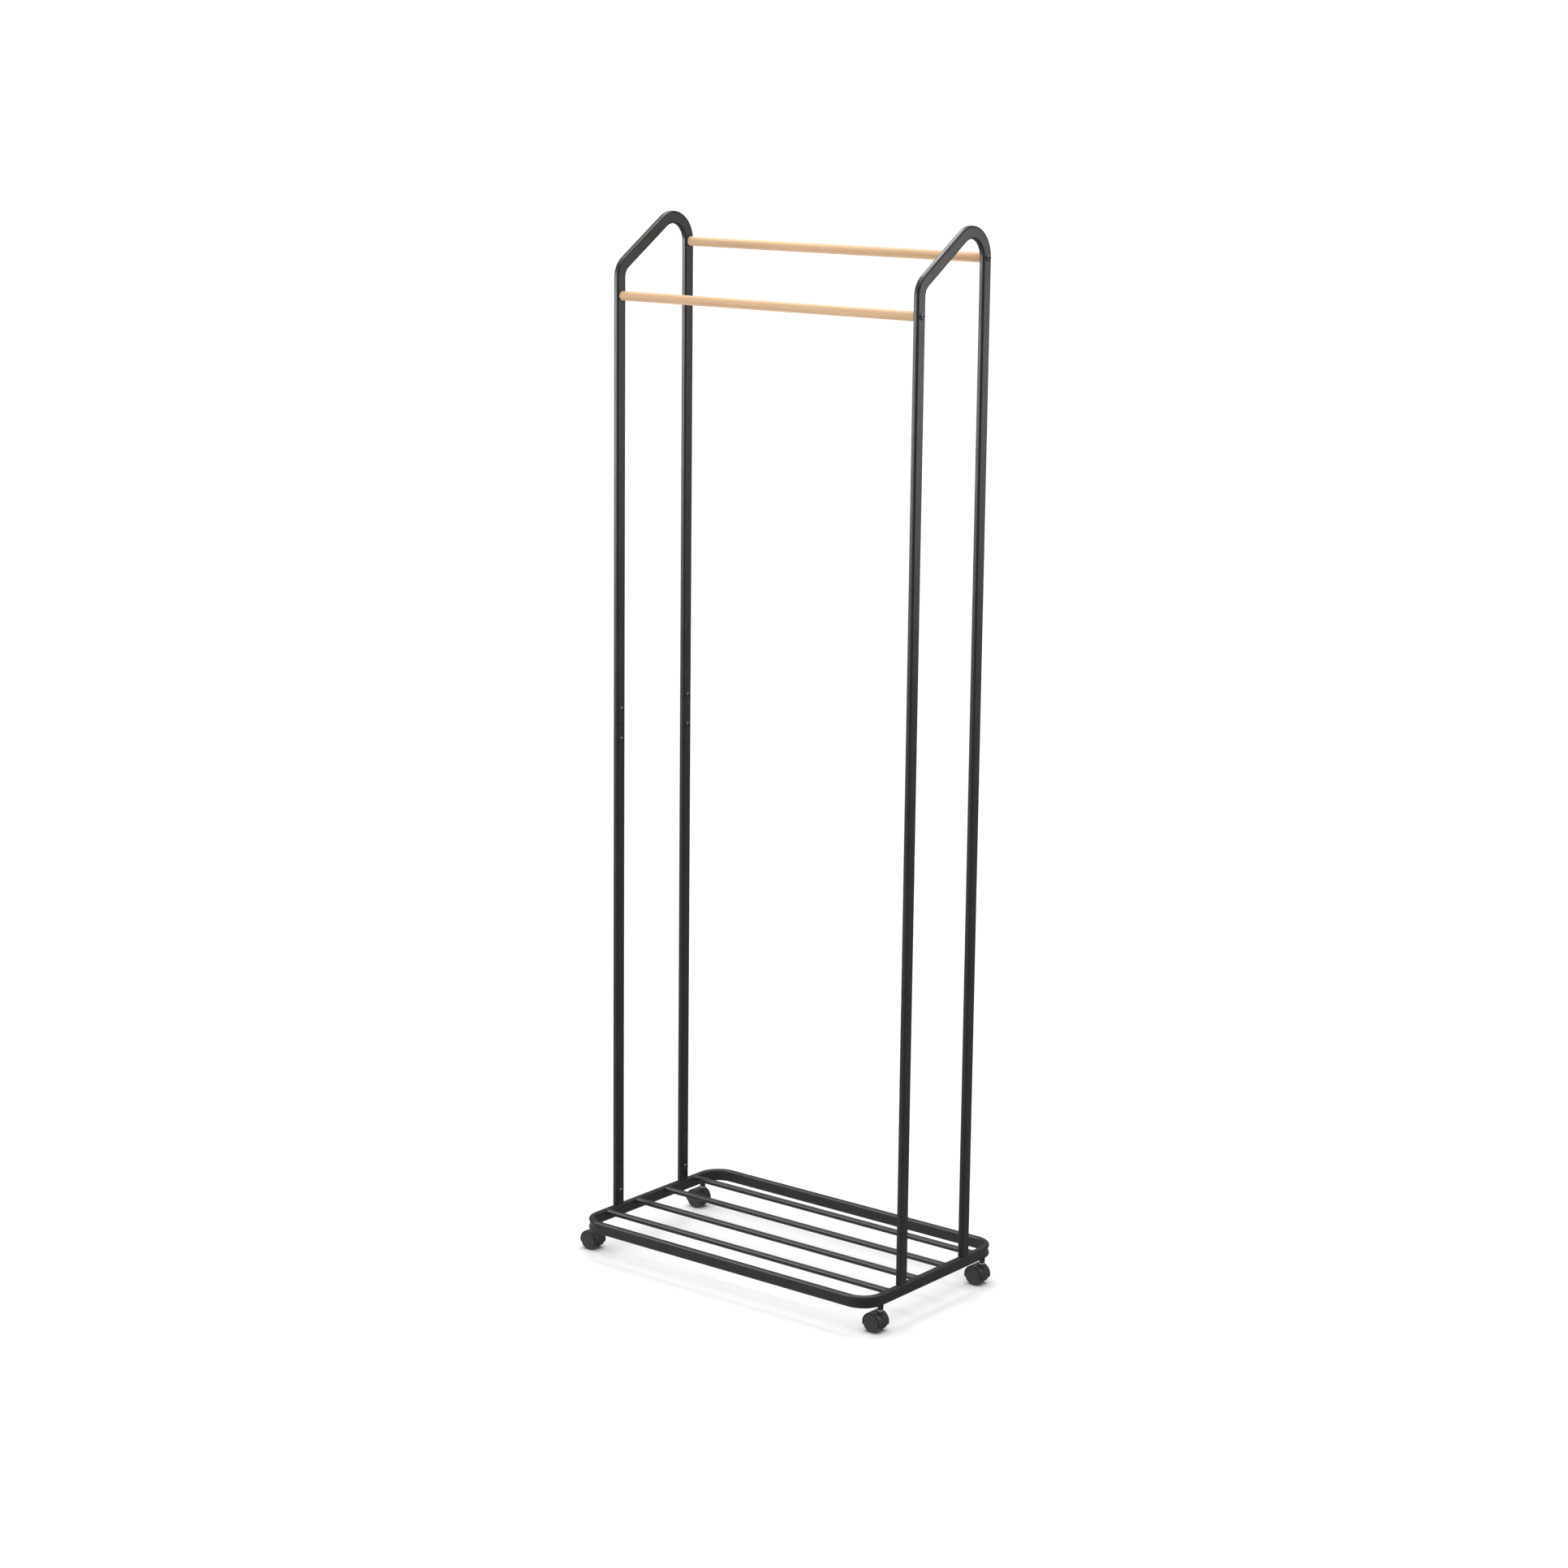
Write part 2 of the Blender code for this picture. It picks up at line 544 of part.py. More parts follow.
def wheel_mesh():
    """Dished wheel, its axis on Z and its heights measured out from the caster's middle."""
    outer = WHEEL_OUTER_FACE
    inner = WHEEL_INNER_FACE
    dish = outer - WHEEL_FACE
    rim = WHEEL_RADIUS - WHEEL_RIM
    shoulder = WHEEL_RADIUS - WHEEL_ROUNDING
    bore = AXLE_DIAMETER / 2 + RUNNING_CLEARANCE
    return finish(turned("caster_wheel", [(0.0, outer), (shoulder, outer),
                                          (WHEEL_RADIUS, outer - WHEEL_ROUNDING),
                                          (WHEEL_RADIUS, inner), (rim, inner), (rim, dish),
                                          (WHEEL_HUB, dish), (WHEEL_HUB, inner), (bore, inner),
                                          (bore, dish), (0.0, dish)]))


def build_casters():
    """Four casters; each swivels on its stem and each wheel turns on the axle."""
    bush = bush_mesh()
    stem = stem_mesh()
    hood = hood_mesh()
    wheel = wheel_mesh()
    axle_length = 2 * (WHEEL_OUTER_FACE - AXLE_INSET)
    axle = finish(cylinder("caster_axle", AXLE_DIAMETER / 2, axle_length, BOLT_SIDES, axis="Y"))
    axle_place = (-CASTER_TRAIL, 0.0, WHEEL_RADIUS)
    for side_name, side in SIDES.items():
        for end_name, end in ENDS.items():
            place = f"{side_name}_{end_name}_caster"
            add_part(place + "_bush", bush, steel, (side * CASTER_X, end * CASTER_Y, BASE_BOTTOM))
            swivel = bpy.data.objects.new(place + "_swivel", None)
            swivel.location = (side * CASTER_X, end * CASTER_Y, 0.0)
            rack.objects.link(swivel)
            add_part(place + "_stem", stem, plated_steel, parent=swivel)
            add_part(place + "_hood", hood, hood_plastic, parent=swivel)
            add_part(place + "_axle", axle, plated_steel, axle_place, parent=swivel)
            for face_name, face in ENDS.items():
                add_part(f"{place}_{face_name}_wheel", wheel, wheel_plastic, axle_place,
                         (-face * QUARTER, 0, 0), swivel)


# ---------------------------------------------------------------- the rack
empty_scene()
rack = make_collection("rolling_clothes_rack")
workshop = make_collection("cutters")

steel = make_material("black_powder_coat", (0.046, 0.044, 0.042), 0.45, 0.0)
wood = make_material("light_beech", (0.71, 0.49, 0.31), 0.55, 0.0)
bolt_steel = make_material("black_bolt_steel", (0.035, 0.034, 0.033), 0.35, 0.6)
bare_steel = make_material("bare_steel", (0.42, 0.42, 0.43), 0.4, 1.0)
plated_steel = make_material("plated_steel", (0.72, 0.72, 0.71), 0.25, 1.0)
hood_plastic = make_material("hood_plastic", (0.032, 0.031, 0.032), 0.5, 0.0)
wheel_plastic = make_material("wheel_plastic", (0.036, 0.036, 0.039), 0.42, 0.0)

build_base()
build_shelf_rods()
build_lower_posts()
build_joiners()
for side_name, side in SIDES.items():
    build_upper_frame(side_name, side)
build_rails()
build_bolts()
build_casters()
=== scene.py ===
"""Looks of the rolling clothes rack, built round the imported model.

The frame, rails, bolts and caster sleeves ride on the rack, each stem and cover on its caster,
and each wheel on its own roller. Places come from the boxes of the CAD nodes; the sizes below
are those that a box doesn't give.
All lengths are in metres, in the frame of the CAD: +X along the rack, +Y back, +Z up.
"""

import math

import bmesh
import bpy
from mathutils import Matrix, Vector


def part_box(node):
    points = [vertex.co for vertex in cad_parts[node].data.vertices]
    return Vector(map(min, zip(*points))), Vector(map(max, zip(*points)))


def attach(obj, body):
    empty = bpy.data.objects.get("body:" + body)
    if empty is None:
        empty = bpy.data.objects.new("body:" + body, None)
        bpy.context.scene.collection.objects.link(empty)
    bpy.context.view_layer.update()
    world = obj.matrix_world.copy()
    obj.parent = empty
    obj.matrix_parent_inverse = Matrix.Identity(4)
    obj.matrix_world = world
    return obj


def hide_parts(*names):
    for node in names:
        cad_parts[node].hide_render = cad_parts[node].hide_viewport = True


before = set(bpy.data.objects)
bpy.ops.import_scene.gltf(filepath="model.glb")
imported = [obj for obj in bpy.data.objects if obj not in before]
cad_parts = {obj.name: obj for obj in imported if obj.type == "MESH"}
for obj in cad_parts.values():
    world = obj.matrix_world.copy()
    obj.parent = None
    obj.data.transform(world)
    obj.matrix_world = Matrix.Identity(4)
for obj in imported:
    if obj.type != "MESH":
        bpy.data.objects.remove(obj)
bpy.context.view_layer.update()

# ---------------------------------------------------------------- tube sizes
TUBE_CORNER = 0.0035            # outer corner radius of the flat-sided tube
TUBE_WALL = 0.0012
CONTACT_GAP = 0.0003            # gap between touching pieces in the CAD
EDGE_ROUND = 0.00035            # rounding of a tube's cut end
BASE_CORNER = 0.040             # outer radius of the base's bent corners
CORNER_CRIMP = 0.0022           # how far the outer wall sinks in at a bent corner
CRIMP_HALF_HEIGHT = 0.0068      # half the height of the sunk band
CRIMP_FULLNESS = 0.8            # under 1 the band reaches its depth sooner
SLANT_ANGLE = math.radians(33.2)
FRONT_BEND = 0.028              # centre-line radius above the front post
REAR_BEND = 0.040               # centre-line radius at the rear top
BEND_STEP = math.radians(3.0)
CORNER_SEGMENTS = 7             # facets in a corner of the tube's section
FLAT_SEGMENTS = 14              # facets across a flat side of the section
ROUND_SIDES = 64                # facets round a rail, rod, stem, sleeve or boss
ALONG_X = Vector((1, 0, 0))
ALONG_Y = Vector((0, 1, 0))
ALONG_Z = Vector((0, 0, 1))

# ---------------------------------------------------------------- small parts
WELD_REACH = 0.0030             # weld fillet along a shelf rod
WELD_FOOT = 0.0017              # how far it spreads over the end bar
WELD_RIPPLE = 0.00022
WELD_LUMPS = 5                  # round the rod
WELD_TURN = 1.7                 # how far the lumps turn from one rod to the next
WELD_SHAPE = [(1.0, 0.0), (0.80, 0.25), (0.45, 0.50), (0.15, 0.78), (0.0, 1.0)]  # foot, reach
ROD_SINK = 0.0033               # how far a rod runs on into the rounded edge of the end bar
RAIL_EDGE = 0.0008              # rounding of a rail's ends

BOLT_HEAD_HEIGHT = 0.0028
BOLT_DOME = 0.80                # domed share of the head's height
BOLT_FLAT = 0.60                # flat share of the head's radius
BOLT_FULLNESS = 1.2             # over 1 the dome is flatter
BOLT_EDGE = 0.00015             # bevel round the head's underside
BOLT_STEPS = 8                  # rings in the dome
BOLT_SHANK = 0.006
BOLT_SHANK_SHOWN = 0.0012       # length modelled under the head
BOLT_SOCKET = 0.004             # across the flats
BOLT_SOCKET_DEPTH = 0.0016
BOLT_SOCKET_MOUTH = 0.0005      # how much wider the socket is at its mouth
BOLT_SOCKET_BEVEL = 0.00025     # depth of the mouth
BOLT_SIDES = 48                 # a multiple of six, so that the socket's corners fall on points

HOOD_WALL = 0.0010
HOOD_WEB = 0.0084               # block between the two wheels
HOOD_EDGE = 0.00075             # rounding of its outer edges, and of the corner at the block
HOOD_RIM = 0.0002               # rounding of its rims' inner edges
BOSS_FOOT = 0.0070              # radius where the boss leaves the hood
BOSS_RADIUS = 0.0052            # radius at its top
BOSS_HEIGHT = 0.0135
BOSS_FLARE = 2.2                # how soon the foot narrows
BOSS_STEPS = 8
BOSS_EDGE = 0.0004              # rounding of its top
BOSS_NECK = 0.0005              # height left for that rounding
BOSS_EDGE_START = 0.3           # radians above level, where the rounding starts
BOSS_BORE = 0.0041              # radius at the mouth of its bore
BOSS_BORE_END = 0.0039          # radius at the bottom
BOSS_BORE_DEPTH = 0.0012
SEAM_MERGE = 0.00001            # points closer than this become one

WHEEL_ROUNDING = 0.0006
WHEEL_STEP = 0.0009             # ring left round the wheel's raised face
WHEEL_STEP_DEPTH = 0.0014
WHEEL_CROWN = 0.0007            # dome of the face
WHEEL_DOME = 2.2                # how late the dome falls away
WHEEL_DOME_STEPS = 10
WHEEL_FACE_EDGE = 0.0003        # rounding of the face's edge
WHEEL_RIM = 0.0025              # thickness of the rim
WHEEL_DISC = 0.0020             # thickness behind the face
WHEEL_HUB = 0.0050              # hub radius
WHEEL_BORE = 0.0021             # bore radius
WHEEL_MIDDLE = 0.00001          # radius that stands for a point on the axis
LATHE_SIDES = 96                # facets round a hood or a wheel

STEM_RADIUS = 0.0023
STEM_BEVEL = 0.0003             # rounding of its flange
BUSH_BORE = 0.0025              # radius
BUSH_CHAMFER = 0.0005           # width of the chamfer at its lower end
BUSH_CHAMFER_HEIGHT = 0.0006
BEAD_PROUD = 0.0004             # how far the weld bead stands out past the sleeve
BEAD_CREST = 0.0001             # how far the bead draws in against the bar
BEAD_UPPER = 0.0004             # depth below the bar where the bead is first fullest
BEAD_LOWER = 0.0011             # and last
BEAD_FOOT = 0.0017              # depth below the bar where the bead ends

SHARP_ANGLE = math.radians(35)          # edges bent further than this stay sharp
WHEEL_SHARP_ANGLE = math.radians(40)

# ---------------------------------------------------------------- light and floor
SURROUND = 0.29                 # studio walls on the darker side, behind and to the right
BRIGHT_SIDE = 0.60              # the same on the brighter side, in front and to the left
BRIGHT_WAY = (-0.60, -0.74, -0.30)
WHITE = (1.0, 1.0, 1.0)
COOL = (0.97, 0.96, 1.0)
WARM = (1.0, 0.97, 0.94)
SKY_POWER = 2.9
SKY_WIDTH = math.radians(80)
FLOOR_HALF = 30.0               # half the floor's length
FLOOR_SQUARES = 4               # along each side
FLOOR_DROP = 0.0003             # under the wheels

# ---------------------------------------------------------------- camera
CAMERA_PLACE = (3.315, -4.236, 1.976)
CAMERA_AZIMUTH = math.radians(38.20)
CAMERA_PITCH = math.radians(11.41)      # looking down
CAMERA_ROLL = math.radians(0.64)
CAMERA_LENS = 78.8                      # millimetres, as is the sensor
CAMERA_SENSOR = 36.0
CAMERA_SHIFT = -0.03
CAMERA_REACH = 100.0

# ---------------------------------------------------------------- textures
NOISE_RANGE = (0.3, 0.7)        # holds nearly all of a noise texture's values
UNSTRETCHED = (1.0, 1.0, 1.0)


# ---------------------------------------------------------------- mesh helpers
def middle(low_high):
    """Middle of a (low, high) box."""
    low, high = low_high
    return (low + high) / 2


def finished(name, work, sharp_angle=SHARP_ANGLE):
    """Mesh from a bmesh, facing out and smooth except at its sharp edges."""
    bmesh.ops.recalc_face_normals(work, faces=work.faces)
    mesh = bpy.data.meshes.new(name)
    work.to_mesh(mesh)
    work.free()
    mesh.shade_smooth()
    mesh.set_sharp_from_angle(angle=sharp_angle)
    return mesh


def skin_rings(work, rings, cyclic):
    """Faces between successive rings of points, closed into a loop or capped at both ends."""
    loops = [[work.verts.new(point) for point in ring] for ring in rings]
    followers = loops[1:] + loops[:1] if cyclic else loops[1:]
    for first, second in zip(loops, followers):
        count = len(first)
        for index in range(count):
            after = (index + 1) % count
            work.faces.new((first[index], first[after], second[after], second[index]))
    if not cyclic:
        work.faces.new(list(reversed(loops[0])))
        work.faces.new(loops[-1])


def ring_mesh(name, rings, cyclic=False, sharp_angle=SHARP_ANGLE):
    """Mesh with a skin over rings of points."""
    work = bmesh.new()
    skin_rings(work, rings, cyclic)
    return finished(name, work, sharp_angle)


def lathe_rings(profile, sides, ripple=None):
    """Rings round Z for (radius, height) points; a radius may be a function of the angle."""
    rings = []
    for radius, height in profile:
        ring = []
        for index in range(sides):
            angle = 2 * math.pi * index / sides
            reach = radius(angle) if callable(radius) else radius
            if ripple:
                reach += ripple(angle, height)
            ring.append(Vector((reach * math.cos(angle), reach * math.sin(angle), height)))
        rings.append(ring)
    return rings


def laid_along_x(rings, centre):
    """Rings round Z, turned to lie along X through a centre."""
    return [[Vector((point.z, point.y, point.x)) + centre for point in ring] for ring in rings]


def both_ends(half):
    """Profile of (radius, height) points followed by its own reflection in height 0."""
    return half + [(radius, -height) for radius, height in reversed(half)]


def rounded(centre, radius, start, end, steps=4):
    """Points of an arc about a centre, as pairs, from one angle to another."""
    angles = [start + (end - start) * step / steps for step in range(steps + 1)]
    return [(centre[0] + radius * math.cos(angle), centre[1] + radius * math.sin(angle))
            for angle in angles]


def piece(name, mesh, body, material, nodes, matrix=None):
    """Add a piece that rides on a body, stands for CAD nodes and takes the given material."""
    if not mesh.materials:
        mesh.materials.append(material)
    item = bpy.data.objects.new(name, mesh)
    bpy.context.scene.collection.objects.link(item)
    if matrix is not None:
        item.matrix_world = matrix
    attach(item, body)
    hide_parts(*nodes)


# ---------------------------------------------------------------- materials
def new_material(name, colour, roughness, metallic=0.0, specular=0.5):
    """Principled material, with its node tree and its shader."""
    material = bpy.data.materials.new(name)
    material.use_nodes = True
    shader = material.node_tree.nodes["Principled BSDF"]
    shader.inputs["Base Color"].default_value = (*colour, 1.0)
    shader.inputs["Roughness"].default_value = roughness
    shader.inputs["Metallic"].default_value = metallic
    shader.inputs["Specular IOR Level"].default_value = specular
    return material, material.node_tree, shader


def noise(tree, vector, scale, detail=2.0, roughness=0.5, distortion=0.0):
    """Factor of a noise texture."""
    node = tree.nodes.new("ShaderNodeTexNoise")
    node.inputs["Scale"].default_value = scale
    node.inputs["Detail"].default_value = detail
    node.inputs["Roughness"].default_value = roughness
    node.inputs["Distortion"].default_value = distortion
    tree.links.new(vector, node.inputs["Vector"])
    return node.outputs["Fac"]


def stretched(tree, scale):
    """Object coordinates scaled along each axis."""
    place = tree.nodes.new("ShaderNodeTexCoord")
    mapping = tree.nodes.new("ShaderNodeMapping")
    mapping.inputs["Scale"].default_value = scale
    tree.links.new(place.outputs["Object"], mapping.inputs["Vector"])
    return mapping.outputs["Vector"]


def ramp(tree, factor, stops):
    """Colour read from (position, colour) stops."""
    node = tree.nodes.new("ShaderNodeValToRGB")
    while len(node.color_ramp.elements) < len(stops):
        node.color_ramp.elements.new(0.5)
    for element, (position, colour) in zip(node.color_ramp.elements, stops):
        element.position = position
        element.color = (*colour, 1.0)
    tree.links.new(factor, node.inputs["Fac"])
    return node.outputs["Color"]


def multiplied(tree, share, first, second):
    """First colour multiplied by a share of the second."""
    node = tree.nodes.new("ShaderNodeMix")
    node.data_type = "RGBA"
    node.blend_type = "MULTIPLY"
    node.inputs["Factor"].default_value = share
    tree.links.new(first, node.inputs["A"])
    tree.links.new(second, node.inputs["B"])
    return node.outputs["Result"]


def spread(tree, factor, low, high):
    """A noise's range spread between two values."""
    node = tree.nodes.new("ShaderNodeMapRange")
    node.inputs["From Min"].default_value, node.inputs["From Max"].default_value = NOISE_RANGE
    node.inputs["To Min"].default_value = low
    node.inputs["To Max"].default_value = high
    tree.links.new(factor, node.inputs["Value"])
    return node.outputs["Result"]


def bump(tree, shader, layers):
    """Bumps on the shader, from (height, distance, strength) layers."""
    normal = None
    for height, distance, strength in layers:
        node = tree.nodes.new("ShaderNodeBump")
        node.inputs["Distance"].default_value = distance
        node.inputs["Strength"].default_value = strength
        tree.links.new(height, node.inputs["Height"])
        if normal is not None:
            tree.links.new(normal, node.inputs["Normal"])
        normal = node.outputs["Normal"]
    tree.links.new(normal, shader.inputs["Normal"])


def powder_coat():
    """Black satin powder coat: fine orange peel, faint mottling and a little dust."""
    colour = (0.012, 0.0115, 0.0115)
    deep = (0.0100, 0.0096, 0.0094)
    pale = (0.0145, 0.0138, 0.0134)
    dust = (1.9, 1.9, 1.95)
    material, tree, shader = new_material("powder_coat", colour, roughness=0.36)
    place = stretched(tree, UNSTRETCHED)
    mottle = noise(tree, place, scale=26.0, detail=3.0)
    grain = noise(tree, place, scale=1400.0, detail=1.0)
    tone = ramp(tree, mottle, [(0.35, deep), (0.65, pale)])
    speckle = ramp(tree, grain, [(0.60, WHITE), (0.72, dust)])
    tree.links.new(multiplied(tree, 1.0, tone, speckle), shader.inputs["Base Color"])
    tree.links.new(spread(tree, mottle, low=0.33, high=0.41), shader.inputs["Roughness"])
    peel = noise(tree, place, scale=520.0, roughness=0.55)
    bump(tree, shader, [(peel, 0.00020, 0.16), (grain, 0.00005, 0.20)])
    return material


def beech():
    """Light beech, its grain along X: soft bands, fine fibres and short dark flecks."""
    late_wood = (0.60, 0.355, 0.190)
    wood = (0.73, 0.475, 0.272)
    early_wood = (0.80, 0.545, 0.330)
    fibre_shade = (0.90, 0.87, 0.84)
    fleck_shade = (0.72, 0.62, 0.55)
    material, tree, shader = new_material("beech", (0.70, 0.47, 0.29), roughness=0.5,
                                          specular=0.35)
    bands = noise(tree, stretched(tree, (1.6, 95.0, 95.0)), scale=1.0, detail=3.0,
                  roughness=0.55, distortion=0.6)
    fibres = noise(tree, stretched(tree, (14.0, 900.0, 900.0)), scale=1.0, roughness=0.6)
    flecks = noise(tree, stretched(tree, (150.0, 1100.0, 1100.0)), scale=1.0, detail=1.0)
    tone = ramp(tree, bands, [(0.30, late_wood), (0.50, wood), (0.70, early_wood)])
    fibre = ramp(tree, fibres, [(0.35, fibre_shade), (0.62, WHITE)])
    fleck = ramp(tree, flecks, [(0.66, WHITE), (0.74, fleck_shade)])
    grain = multiplied(tree, 1.0, tone, fibre)
    tree.links.new(multiplied(tree, 0.8, grain, fleck), shader.inputs["Base Color"])
    tree.links.new(spread(tree, fibres, low=0.46, high=0.58), shader.inputs["Roughness"])
    bump(tree, shader, [(fibres, 0.00008, 0.35), (flecks, 0.00005, 0.25)])
    return material


def tinted(colour, share):
    """Colour with each of its values multiplied."""
    return tuple(share * value for value in colour)


def metal(name, colour, roughness, grain_scale, metallic=1.0):
    """Plated or blackened steel with fine irregular gloss."""
    material, tree, shader = new_material(name, colour, roughness, metallic)
    grain = noise(tree, stretched(tree, UNSTRETCHED), grain_scale, detail=3.0, roughness=0.6)
    dark = tinted(colour, 0.78)
    tree.links.new(ramp(tree, grain, [(0.35, dark), (0.65, colour)]),
                   shader.inputs["Base Color"])
    tree.links.new(spread(tree, grain, low=0.8 * roughness, high=1.25 * roughness),
                   shader.inputs["Roughness"])
    bump(tree, shader, [(grain, 0.00004, 0.25)])
    return material


def plastic(name, colour, roughness, grain_scale, depth):
    """Moulded plastic with a fine spark-eroded texture."""
    material, tree, shader = new_material(name, colour, roughness, specular=0.45)
    place = stretched(tree, UNSTRETCHED)
    cloud = noise(tree, place, scale=150.0, detail=3.0)
    grain = noise(tree, place, grain_scale, roughness=0.6)
    light = tinted(colour, 1.25)
    tree.links.new(ramp(tree, cloud, [(0.30, colour), (0.70, light)]),
                   shader.inputs["Base Color"])
    tree.links.new(spread(tree, cloud, low=roughness - 0.05, high=roughness + 0.06),
                   shader.inputs["Roughness"])
    bump(tree, shader, [(grain, depth, 0.30), (cloud, 0.00008, 0.12)])
    return material


# ---------------------------------------------------------------- steel tube
def tube_section(wide_u, wide_v, radius):
    """Closed outline (u, v) of the tube, its flat sides divided so that they can be shaped."""
    half_u = wide_u / 2 - radius
    half_v = wide_v / 2 - radius
    outline = []
    corners = [(half_u, half_v), (-half_u, half_v), (-half_u, -half_v), (half_u, -half_v)]
    for index, corner in enumerate(corners):
        start = index * math.pi / 2
        end = start + math.pi / 2
        outline += rounded(corner, radius, start, end, CORNER_SEGMENTS)
        last = outline[-1]
        following = corners[(index + 1) % 4]
        target = (following[0] + radius * math.cos(end), following[1] + radius * math.sin(end))
        for step in range(1, FLAT_SEGMENTS):
            share = step / FLAT_SEGMENTS
            outline.append((last[0] + (target[0] - last[0]) * share,
                            last[1] + (target[1] - last[1]) * share))
    return outline


def tube_ring(section, centre, axis_u, axis_v, sink=0.0):
    """One ring of a tube; sink is how far the middle of its +u side is pushed in."""
    ring = []
    for u, v in section:
        if u > 0 and sink and abs(v) < CRIMP_HALF_HEIGHT:
            u -= sink * math.cos(math.pi / 2 * v / CRIMP_HALF_HEIGHT) ** 2
        ring.append(centre + axis_u * u + axis_v * v)
    return ring


def walled_tube(name, stations, wide_u, wide_v):
    """Open tube with a wall along (centre, u axis, v axis) stations, its ends rounded over."""
    inside = (wide_u - 2 * TUBE_WALL, wide_v - 2 * TUBE_WALL, TUBE_CORNER - TUBE_WALL)
    trimmed = (wide_u - 2 * EDGE_ROUND, wide_v - 2 * EDGE_ROUND, TUBE_CORNER - EDGE_ROUND)
    outer = tube_section(wide_u, wide_v, TUBE_CORNER)
    edge = tube_section(*trimmed)
    inner = tube_section(*inside)
    first, last = stations[0], stations[-1]
    into_first = (stations[1][0] - first[0]).normalized() * EDGE_ROUND
    into_last = (stations[-2][0] - last[0]).normalized() * EDGE_ROUND
    skin = [(first[0] + into_first, *first[1:]), *stations[1:-1], (last[0] + into_last, *last[1:])]
    rings = [tube_ring(edge, *first)]
    rings += [tube_ring(outer, *station) for station in skin]
    rings += [tube_ring(edge, *last)]
    rings += [tube_ring(inner, *station) for station in reversed(stations)]
    return ring_mesh(name, rings, cyclic=True)


def build_upper_frame(side_name, material):
    """Bent top of one side: up the front post, back along the slope and down the rear post."""
    node = side_name + "_upper_frame"
    low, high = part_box(node)
    post_low, post_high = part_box(side_name + "_front_lower_post")
    tube_wide = post_high.y - post_low.y
    tube_thin = high.x - low.x
    x = (low.x + high.x) / 2
    front_y = low.y + tube_wide / 2
    rear_y = high.y - tube_wide / 2
    run = (rear_y - REAR_BEND) - (front_y + FRONT_BEND)
    rise = (run * math.sin(SLANT_ANGLE) - REAR_BEND + FRONT_BEND) / math.cos(SLANT_ANGLE)
    rear_centre = Vector((x, rear_y - REAR_BEND, high.z - tube_wide / 2 - REAR_BEND))
    front_centre = Vector((x, front_y + FRONT_BEND, rear_centre.z - rise))
    bend_end = math.pi / 2 + SLANT_ANGLE
    stations = [(Vector((x, front_y, low.z)), -ALONG_Y, ALONG_X)]
    for centre, radius, start, end in ((front_centre, FRONT_BEND, math.pi, bend_end),
                                       (rear_centre, REAR_BEND, bend_end, 0.0)):
        steps = math.ceil(abs(end - start) / BEND_STEP)
        for step in range(steps + 1):
            angle = start + (end - start) * step / steps
            away = Vector((0, math.cos(angle), math.sin(angle)))
            stations.append((centre + away * radius, away, ALONG_X))
    stations.append((Vector((x, rear_y, low.z)), ALONG_Y, ALONG_X))
    mesh = walled_tube(side_name + "_top", stations, tube_wide, tube_thin)
    piece(side_name + "_bent_top", mesh, "rack", material, [node])


def build_lower_post(node, material):
    """Straight tube that stands on the base."""
    low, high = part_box(node)
    low.z -= CONTACT_GAP
    centre = middle((low, high))
    stations = [(Vector((centre.x, centre.y, z)), ALONG_Y, ALONG_X)
                for z in (low.z, centre.z, high.z)]
    mesh = walled_tube(node + "_skin", stations, high.y - low.y, high.x - low.x)
    piece(node + "_tube", mesh, "rack", material, [node])


def build_base(material):
    """Loop of tube with bent corners. Its box is taller than the tube, so a rod gives its top."""
    low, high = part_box("base_frame")
    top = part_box("shelf_rod_1")[1].z
    post_low, post_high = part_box("left_front_lower_post")
    thin = post_high.x - post_low.x
    height = top - low.z
    section = tube_section(thin, height, TUBE_CORNER)
    middle_z = (top + low.z) / 2
    reach = BASE_CORNER - thin / 2
    corners = [(high.x - BASE_CORNER, high.y - BASE_CORNER),
               (low.x + BASE_CORNER, high.y - BASE_CORNER),
               (low.x + BASE_CORNER, low.y + BASE_CORNER),
               (high.x - BASE_CORNER, low.y + BASE_CORNER)]
    rings = []
    steps = math.ceil(math.pi / 2 / BEND_STEP)
    for index, (x, y) in enumerate(corners):
        for step in range(steps + 1):
            turn = math.pi / 2 * step / steps
            angle = index * math.pi / 2 + turn
            away = Vector((math.cos(angle), math.sin(angle), 0))
            centre = Vector((x, y, middle_z)) + away * reach
            inside = 0 < step < steps
            sink = CORNER_CRIMP * math.sin(2 * turn) ** CRIMP_FULLNESS if inside else 0.0
            rings.append(tube_ring(section, centre, away, ALONG_Z, sink))
    mesh = ring_mesh("base_skin", rings, cyclic=True)
    piece("base_loop", mesh, "rack", material, ["base_frame"])


